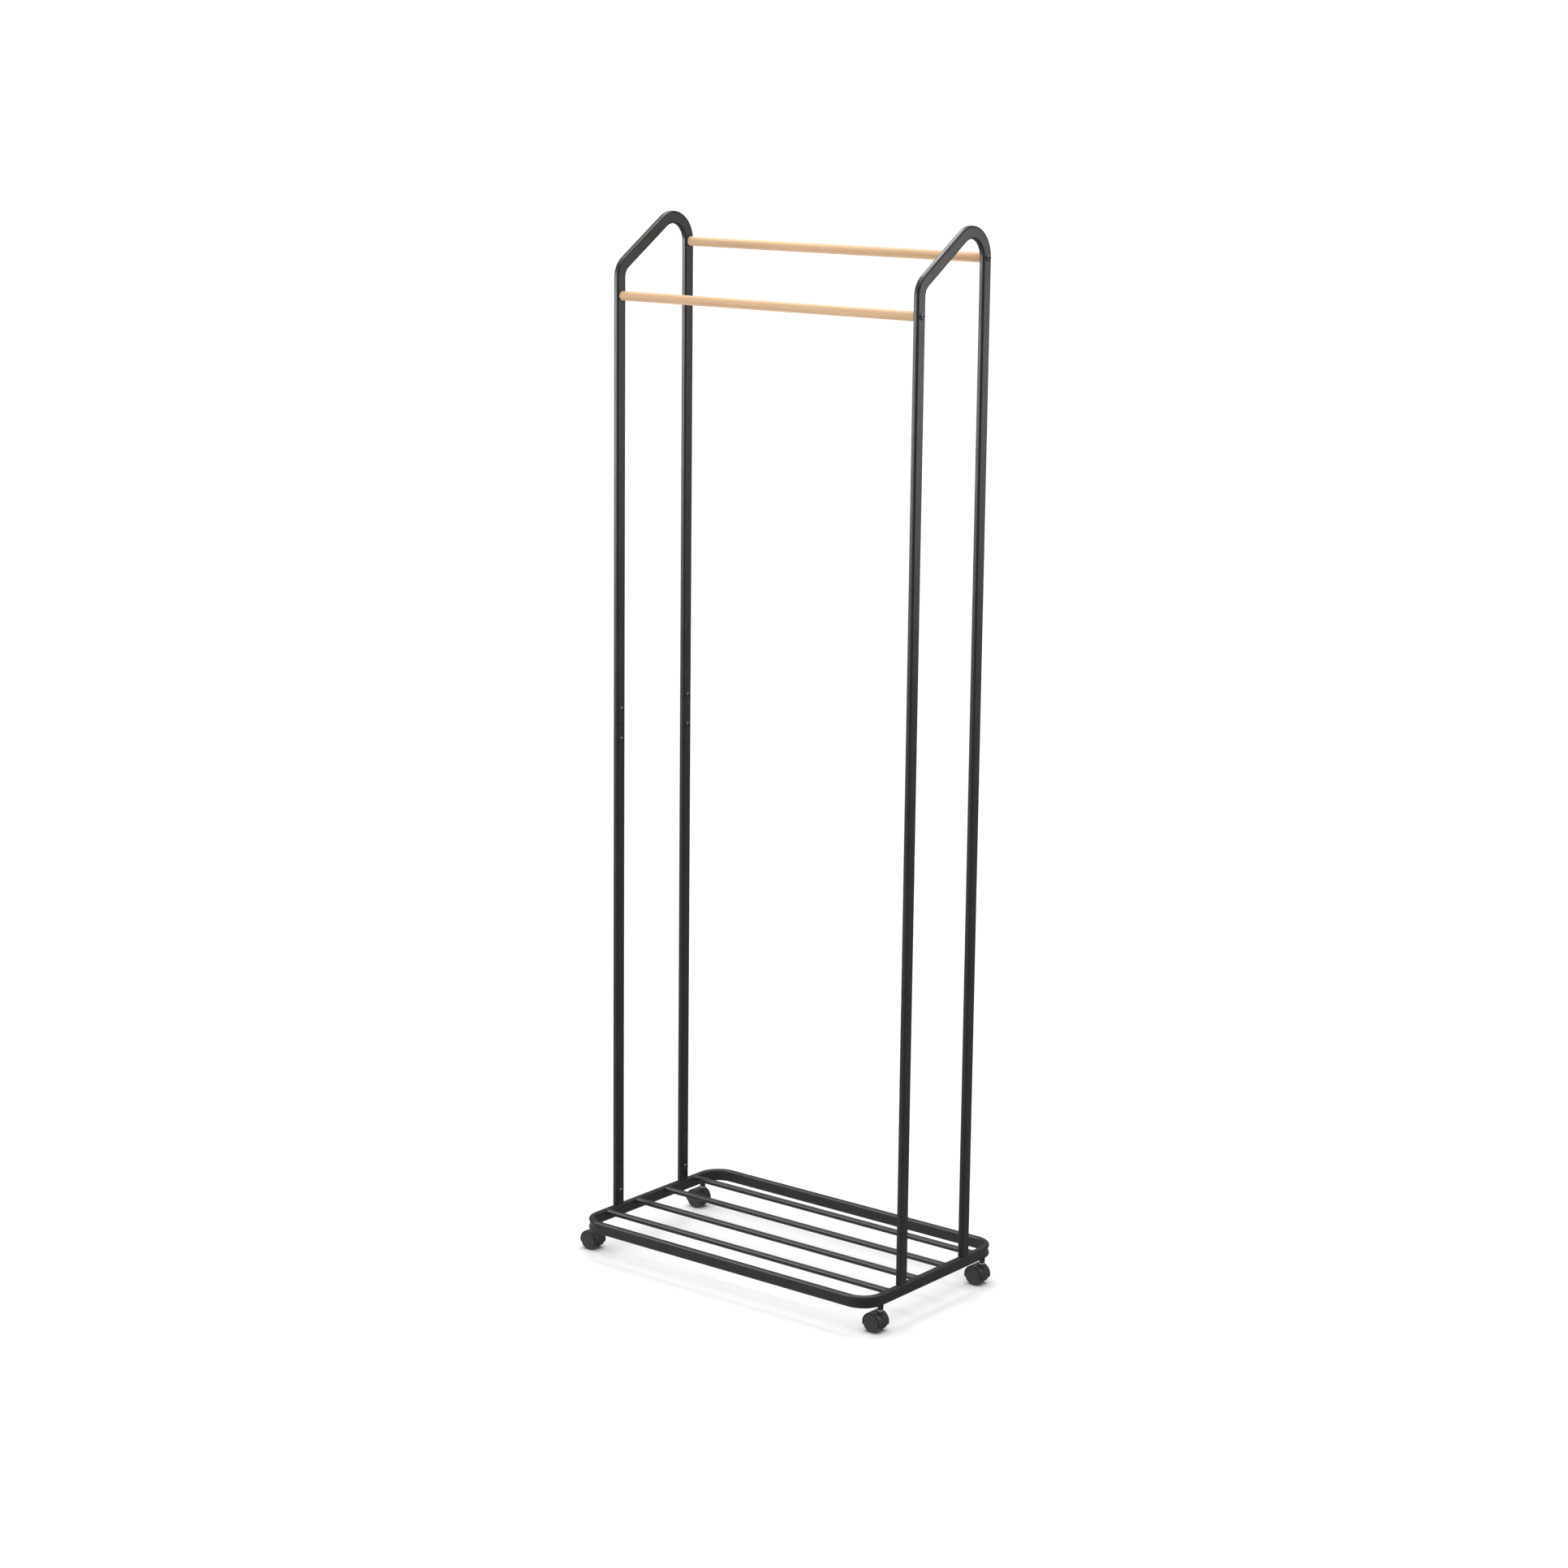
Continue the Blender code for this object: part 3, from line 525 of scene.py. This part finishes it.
def build_shelf_rod(index, material):
    """Shelf rod with a weld fillet under and beside each end; its top stays level."""
    node = f"shelf_rod_{index}"
    low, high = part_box(node)
    centre = middle((low, high))
    radius = (high.z - low.z) / 2
    half = abs(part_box("left_front_lower_post")[1].x)    # posts and end bars are level inside

    def under(angle):
        """Share of the fillet at an angle from straight up."""
        return (1 - math.cos(angle)) / 2

    def swollen(grow):
        """Radius as a function of the angle, grown by a whole fillet underneath."""
        return lambda angle: radius + grow * under(angle)

    def ripple(angle, height):
        """Lumps of the weld, which fade out where the fillet ends."""
        nearness = max(0.0, 1 - (half - abs(height)) / WELD_REACH)
        side = 1 if height > 0 else -1
        lumps = math.sin(WELD_LUMPS * angle + WELD_TURN * index + side)
        return WELD_RIPPLE * nearness * under(angle) * lumps

    half_profile = [(radius, half + ROD_SINK)]
    half_profile += [(swollen(WELD_FOOT * grow), half - share * WELD_REACH)
                     for grow, share in WELD_SHAPE]
    rings = lathe_rings(both_ends(half_profile), ROUND_SIDES, ripple)
    mesh = ring_mesh(node + "_skin", laid_along_x(rings, centre))
    piece(f"welded_rod_{index}", mesh, "rack", material, [node])


# ---------------------------------------------------------------- rails and bolts
def build_rail(name, material):
    """Wooden rail with rounded ends."""
    low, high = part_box(name)
    centre = middle((low, high))
    radius = (high.z - low.z) / 2
    half = (high.x - low.x) / 2
    edge = rounded((radius - RAIL_EDGE, half - RAIL_EDGE), RAIL_EDGE, math.pi / 2, 0.0, steps=5)
    rings = lathe_rings(both_ends(edge), ROUND_SIDES)
    mesh = ring_mesh(name + "_dowel", laid_along_x(rings, centre))
    piece(name + "_dowel", mesh, "rack", material, [name])


def hexagon(across):
    """Distance to a hexagon's edge as a function of the angle."""
    def reach(angle):
        turn = (angle + math.pi / 6) % (math.pi / 3) - math.pi / 6
        return across / 2 / math.cos(turn)
    return reach


def bolt_head_mesh(head_diameter):
    """Button head and the start of its shank; the head's top is at the origin, facing +Z."""
    head = head_diameter / 2
    socket = hexagon(BOLT_SOCKET)
    lip = BOLT_FLAT * head
    dome = BOLT_DOME * BOLT_HEAD_HEIGHT
    crown = [(head - BOLT_EDGE, -BOLT_HEAD_HEIGHT), (head, -BOLT_HEAD_HEIGHT + BOLT_EDGE),
             (head, -dome)]
    for step in range(1, BOLT_STEPS + 1):
        share = step / BOLT_STEPS
        drop = dome * (1 - math.sin(math.pi / 2 * share) ** BOLT_FULLNESS)
        crown.append((head - (head - lip) * share, -drop))
    inside = [(hexagon(BOLT_SOCKET + BOLT_SOCKET_MOUTH), 0.0), (socket, -BOLT_SOCKET_BEVEL),
              (socket, -BOLT_SOCKET_DEPTH)]
    shank = [(BOLT_SHANK / 2, -BOLT_HEAD_HEIGHT - BOLT_SHANK_SHOWN),
             (BOLT_SHANK / 2, -BOLT_HEAD_HEIGHT)]
    return ring_mesh("bolt_head", lathe_rings(shank + crown + inside, BOLT_SIDES))


def build_bolts(material):
    """A rail bolt faces away from the middle of the rack, the others towards it."""
    low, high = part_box("left_front_leg_bolt")
    mesh = bolt_head_mesh(high.y - low.y)
    for node in sorted(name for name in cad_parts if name.endswith("_bolt")):
        low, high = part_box(node)
        centre = middle((low, high))
        side = 1 if centre.x > 0 else -1
        facing = side if node.endswith("_rail_bolt") else -side
        top = high.x if facing > 0 else low.x
        turn = Matrix.Rotation(facing * math.pi / 2, 4, "Y")
        place = Matrix.Translation((top, centre.y, centre.z)) @ turn
        piece(node + "_head", mesh, "rack", material, [node], place)


# ---------------------------------------------------------------- casters
def hood_profile(radius, half_width):
    """Section of the hood on one side of the axle, as (radius, place along the axle) points."""
    inner = radius - HOOD_WALL
    web = HOOD_WEB / 2
    quarter = math.pi / 2
    half = [(0.0, web), (inner - HOOD_EDGE, web)]
    half += rounded((inner - HOOD_EDGE, web + HOOD_EDGE), HOOD_EDGE, -quarter, 0.0)
    half += rounded((inner + HOOD_RIM, half_width - HOOD_RIM), HOOD_RIM, math.pi, quarter,
                    steps=3)
    half += rounded((radius - HOOD_EDGE, half_width - HOOD_EDGE), HOOD_EDGE, quarter, 0.0)
    return both_ends(half)


def hood_shell(profile, trail, axle_height, skirt):
    """Profile turned round the axle and cut off level at the skirt."""
    work = bmesh.new()
    points = [work.verts.new((r, 0.0, h)) for r, h in profile]
    edges = [work.edges.new(pair) for pair in zip(points, points[1:])]
    bmesh.ops.spin(work, geom=points + edges, cent=(0, 0, 0), axis=ALONG_Z, dvec=(0, 0, 0),
                   angle=2 * math.pi, steps=LATHE_SIDES, use_merge=True)
    bmesh.ops.remove_doubles(work, verts=work.verts, dist=SEAM_MERGE)
    place = Matrix.Translation((-trail, 0, axle_height)) @ Matrix.Rotation(math.pi / 2, 4, "X")
    bmesh.ops.transform(work, matrix=place, verts=work.verts)
    geometry = work.verts[:] + work.edges[:] + work.faces[:]
    cut = bmesh.ops.bisect_plane(work, geom=geometry, plane_co=(0, 0, skirt),
                                 plane_no=-ALONG_Z, clear_outer=True)
    rim = [item for item in cut["geom_cut"] if isinstance(item, bmesh.types.BMEdge)]
    bmesh.ops.edgeloop_fill(work, edges=rim)
    return finished("hood_draft", work)


def boss_mesh(top):
    """Boss that flares into the hood, with the mouth of the stem's bore in its top."""
    foot = top - BOSS_HEIGHT
    profile = [(BOSS_FOOT, foot)]
    for step in range(1, BOSS_STEPS + 1):
        share = step / BOSS_STEPS
        flare = (1 - share) ** BOSS_FLARE
        profile.append((BOSS_RADIUS + (BOSS_FOOT - BOSS_RADIUS) * flare,
                        foot + (BOSS_HEIGHT - BOSS_NECK) * share))
    profile += rounded((BOSS_RADIUS - BOSS_EDGE, top - BOSS_EDGE), BOSS_EDGE,
                       BOSS_EDGE_START, math.pi / 2, steps=3)
    profile += [(BOSS_BORE, top), (BOSS_BORE_END, top - BOSS_BORE_DEPTH)]
    return ring_mesh("boss_draft", lathe_rings(profile, ROUND_SIDES))


def united(name, first_mesh, second_mesh):
    """Mesh of the Boolean union of two meshes."""
    drafts = [bpy.data.objects.new(mesh.name, mesh) for mesh in (first_mesh, second_mesh)]
    for item in drafts:
        bpy.context.scene.collection.objects.link(item)
    union = drafts[0].modifiers.new("union", "BOOLEAN")
    union.operation = "UNION"
    union.object = drafts[1]
    graph = bpy.context.evaluated_depsgraph_get()
    mesh = bpy.data.meshes.new_from_object(drafts[0].evaluated_get(graph))
    mesh.name = name
    for item in drafts:
        bpy.data.objects.remove(item)
    mesh.materials.clear()
    mesh.shade_smooth()
    mesh.set_sharp_from_angle(angle=SHARP_ANGLE)
    return mesh


def hood_mesh(trail, axle_height, radius, half_width, skirt, boss_top):
    """Hood over both wheels, with the boss that holds the stem."""
    shell = hood_shell(hood_profile(radius, half_width), trail, axle_height, skirt)
    return united("hood", shell, boss_mesh(boss_top))


def wheel_mesh(radius, inner, outer):
    """Wheel with a plain domed face raised above its tread; heights run out from the middle."""
    face = radius - WHEEL_STEP
    edge = WHEEL_FACE_EDGE
    quarter = math.pi / 2
    profile = [(WHEEL_MIDDLE, outer)]
    for step in range(1, WHEEL_DOME_STEPS + 1):
        share = step / WHEEL_DOME_STEPS
        profile.append(((face - edge) * share,
                        outer - (WHEEL_CROWN - edge) * share ** WHEEL_DOME))
    profile += rounded((face - edge, outer - WHEEL_CROWN), edge, quarter, 0.0)[1:]
    tread = outer - WHEEL_CROWN - WHEEL_STEP_DEPTH
    profile.append((face, tread))
    profile += rounded((radius - WHEEL_ROUNDING, tread - WHEEL_ROUNDING), WHEEL_ROUNDING,
                       quarter, 0.0, steps=6)
    profile += rounded((radius - WHEEL_ROUNDING, inner + WHEEL_ROUNDING), WHEEL_ROUNDING,
                       0.0, -quarter)
    back = outer - WHEEL_DISC
    profile += [(radius - WHEEL_RIM, inner), (radius - WHEEL_RIM, back), (WHEEL_HUB, back),
                (WHEEL_HUB, inner), (WHEEL_BORE, inner), (WHEEL_BORE, back),
                (WHEEL_MIDDLE, back)]
    return ring_mesh("wheel", lathe_rings(profile, LATHE_SIDES), sharp_angle=WHEEL_SHARP_ANGLE)


def bush_mesh(diameter, low, high):
    """Sleeve under the base bar, with a weld bead against the bar."""
    radius = diameter / 2
    body = radius - BEAD_PROUD
    profile = [(BUSH_BORE, high), (radius - BEAD_CREST, high), (radius, high - BEAD_UPPER),
               (radius, high - BEAD_LOWER), (body, high - BEAD_FOOT),
               (body, low + BUSH_CHAMFER_HEIGHT), (body - BUSH_CHAMFER, low), (BUSH_BORE, low)]
    return ring_mesh("bush", lathe_rings(profile, ROUND_SIDES), cyclic=True)


def stem_mesh(flange, top, seat, flange_top, foot):
    """Plated stem with its flange, at heights above the floor."""
    bevel = STEM_BEVEL
    profile = [(STEM_RADIUS, top), (STEM_RADIUS, flange_top)]
    profile += rounded((flange - bevel, flange_top - bevel), bevel, math.pi / 2, 0.0, steps=3)
    profile += rounded((flange - bevel, seat + bevel), bevel, 0.0, -math.pi / 2, steps=3)
    profile += [(STEM_RADIUS, seat), (STEM_RADIUS, foot)]
    return ring_mesh("stem", lathe_rings(profile, ROUND_SIDES))


def build_casters(hood_plastic, wheel_plastic, plated, steel):
    """Four casters alike, measured on one of them; each wheel's face turns outwards."""
    place = "left_front_caster"
    stem_low, stem_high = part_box(place + "_stem")
    hood_low, hood_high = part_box(place + "_hood")
    wheel_low, wheel_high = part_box(place + "_front_wheel")
    bush_low, bush_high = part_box(place + "_bush")
    stem = middle((stem_low, stem_high))
    axle = middle((wheel_low, wheel_high))
    trail = stem.x - axle.x
    radius = (wheel_high.z - wheel_low.z) / 2
    hood_radius = axle.x - hood_low.x
    flange = (stem_high.y - stem_low.y) / 2
    bar_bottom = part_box("base_frame")[0].z
    bush = bush_mesh(bush_high.y - bush_low.y, bush_low.z, bar_bottom)
    shaft = stem_mesh(flange, stem_high.z, hood_high.z + CONTACT_GAP,
                      bush_low.z - CONTACT_GAP, stem_low.z)
    hood = hood_mesh(trail, axle.z, hood_radius, (hood_high.y - hood_low.y) / 2, hood_low.z,
                     hood_high.z)
    wheel = wheel_mesh(radius, stem.y - wheel_high.y, stem.y - wheel_low.y)
    for side in ("left", "right"):
        for end in ("front", "rear"):
            place = f"{side}_{end}_caster"
            spot = middle(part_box(place + "_stem"))
            at_floor = Matrix.Translation((spot.x, spot.y, 0))
            at_axle = Matrix.Translation((spot.x - trail, spot.y, axle.z))
            piece(place + "_sleeve", bush, "rack", steel, [place + "_bush"], at_floor)
            piece(place + "_shaft", shaft, place, plated, [place + "_stem"],
                  at_floor)
            piece(place + "_cover", hood, place, hood_plastic,
                  [place + "_hood"], at_floor)
            for face_name, face in (("front", -1), ("rear", 1)):
                turn = Matrix.Rotation(-face * math.pi / 2, 4, "X")
                piece(f"{place}_{face_name}_roller_wheel", wheel, f"{place}_{face_name}_roller",
                      wheel_plastic, [f"{place}_{face_name}_wheel"],
                      at_axle @ turn)


def dress_hidden_parts(plated, bare):
    """The joiners and the axles stay as the CAD has them, with better materials."""
    for name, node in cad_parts.items():
        if name.endswith("_joiner") or name.endswith("_axle"):
            finish = bare if name.endswith("_joiner") else plated
            node.data.materials.clear()
            node.data.materials.append(finish)


# ---------------------------------------------------------------- floor, light and camera
def build_floor():
    """Wide pale floor under the casters."""
    work = bmesh.new()
    bmesh.ops.create_grid(work, x_segments=FLOOR_SQUARES, y_segments=FLOOR_SQUARES,
                          size=FLOOR_HALF)
    mesh = finished("floor", work)
    material, tree, shader = new_material("floor_paint", tinted(WHITE, 0.91), roughness=0.75,
                                          specular=0.2)
    cloud = noise(tree, stretched(tree, UNSTRETCHED), scale=1.5, detail=3.0)
    dull, bright = tinted(WHITE, 0.905), tinted(WHITE, 0.92)
    tree.links.new(ramp(tree, cloud, [(0.3, dull), (0.7, bright)]), shader.inputs["Base Color"])
    mesh.materials.append(material)
    floor = bpy.data.objects.new("floor", mesh)
    floor.location = (0, 0, -FLOOR_DROP)
    floor.visible_glossy = False
    bpy.context.scene.collection.objects.link(floor)


def add_softbox(name, location, target, size, power, colour=WHITE, only_gloss=False):
    """Rectangular light that the camera doesn't see; it may light nothing but the gloss."""
    light = bpy.data.lights.new(name, "AREA")
    light.shape = "RECTANGLE"
    light.size, light.size_y = size
    light.energy = power
    light.color = colour
    item = bpy.data.objects.new(name, light)
    item.location = location
    item.rotation_mode = "QUATERNION"
    item.rotation_quaternion = (Vector(target) - Vector(location)).to_track_quat("-Z", "Y")
    item.visible_camera = False
    item.visible_diffuse = not only_gloss
    bpy.context.scene.collection.objects.link(item)


def wall_brightness(tree):
    """Brightness of the studio's walls, rising towards the bright side."""
    place = tree.nodes.new("ShaderNodeTexCoord")
    towards = tree.nodes.new("ShaderNodeVectorMath")
    towards.operation = "DOT_PRODUCT"
    towards.inputs[1].default_value = BRIGHT_WAY
    tree.links.new(place.outputs["Generated"], towards.inputs[0])
    level = tree.nodes.new("ShaderNodeMapRange")
    level.inputs["From Min"].default_value = 0.0
    level.inputs["From Max"].default_value = 1.0
    level.inputs["To Min"].default_value = SURROUND
    level.inputs["To Max"].default_value = BRIGHT_SIDE
    tree.links.new(towards.outputs["Value"], level.inputs["Value"])
    return level.outputs["Result"]


def add_surround():
    """World that is white to the camera and a dimmer studio to the object."""
    world = bpy.data.worlds.new("studio")
    world.use_nodes = True
    tree = world.node_tree
    seen = tree.nodes["Background"]
    seen.inputs["Strength"].default_value = 1.0
    seen.inputs["Color"].default_value = (*WHITE, 1.0)
    fill = tree.nodes.new("ShaderNodeBackground")
    fill.inputs["Color"].default_value = (*WHITE, 1.0)
    tree.links.new(wall_brightness(tree), fill.inputs["Strength"])
    path = tree.nodes.new("ShaderNodeLightPath")
    mix = tree.nodes.new("ShaderNodeMixShader")
    tree.links.new(path.outputs["Is Camera Ray"], mix.inputs[0])
    tree.links.new(fill.outputs[0], mix.inputs[1])
    tree.links.new(seen.outputs[0], mix.inputs[2])
    tree.links.new(mix.outputs[0], tree.nodes["World Output"].inputs["Surface"])
    bpy.context.scene.world = world


def light_scene():
    """Surround, a wide soft sky, one small softbox above and two that light only the gloss."""
    add_surround()
    sky = bpy.data.lights.new("sky", "SUN")
    sky.energy = SKY_POWER
    sky.angle = SKY_WIDTH
    item = bpy.data.objects.new("sky", sky)
    bpy.context.scene.collection.objects.link(item)
    add_softbox("overhead", (-0.36, 0.38, 2.75), target=(0.0, 0.0, 1.65), size=(0.46, 0.50),
                power=8.5)
    add_softbox("front_left", (-1.60, -1.85, 1.50), target=(-0.1, 0.0, 1.35), size=(1.25, 1.2),
                power=44, colour=COOL, only_gloss=True)
    add_softbox("rear_right", (1.95, 1.60, 1.50), target=(0.3, 0.0, 1.35), size=(0.8, 1.2),
                power=12, colour=WARM, only_gloss=True)
    bpy.context.scene.view_settings.view_transform = "Standard"


def add_camera():
    """Camera at the front right, higher than the rack and looking down a little."""
    camera = bpy.data.cameras.new("camera")
    camera.lens = CAMERA_LENS
    camera.sensor_width = CAMERA_SENSOR
    camera.shift_y = CAMERA_SHIFT
    camera.clip_end = CAMERA_REACH
    item = bpy.data.objects.new("camera", camera)
    forward = Vector((-math.sin(CAMERA_AZIMUTH) * math.cos(CAMERA_PITCH),
                      math.cos(CAMERA_AZIMUTH) * math.cos(CAMERA_PITCH),
                      -math.sin(CAMERA_PITCH)))
    level = Vector((math.cos(CAMERA_AZIMUTH), math.sin(CAMERA_AZIMUTH), 0))
    above = level.cross(forward)
    right = level * math.cos(CAMERA_ROLL) + above * math.sin(CAMERA_ROLL)
    up = right.cross(forward)
    turn = Matrix((right, up, -forward)).transposed()
    item.matrix_world = Matrix.Translation(CAMERA_PLACE) @ turn.to_4x4()
    bpy.context.scene.collection.objects.link(item)
    bpy.context.scene.camera = item


# ---------------------------------------------------------------- the scene
coat = powder_coat()
wood = beech()
bolt_black = metal("black_oxide", (0.11, 0.107, 0.104), roughness=0.22, grain_scale=900.0,
                   metallic=0.9)
zinc = metal("zinc_plate", (0.62, 0.62, 0.61), roughness=0.28, grain_scale=700.0)
mill_steel = metal("mill_steel", (0.40, 0.40, 0.41), roughness=0.42, grain_scale=500.0)
hood_black = plastic("hood_plastic", (0.022, 0.0212, 0.0205), roughness=0.48,
                     grain_scale=1800.0, depth=0.00008)
wheel_black = plastic("wheel_plastic", (0.030, 0.030, 0.033), roughness=0.44,
                      grain_scale=2200.0, depth=0.00005)

build_base(coat)
for number in range(1, 5):
    build_shelf_rod(number, coat)
for side_name in ("left", "right"):
    build_upper_frame(side_name, coat)
    for end_name in ("front", "rear"):
        build_lower_post(f"{side_name}_{end_name}_lower_post", coat)
for rail_name in ("front_rail", "rear_rail"):
    build_rail(rail_name, wood)
build_bolts(bolt_black)
build_casters(hood_black, wheel_black, zinc, coat)
dress_hidden_parts(zinc, mill_steel)
build_floor()
light_scene()
add_camera()

bpy.context.view_layer.update()
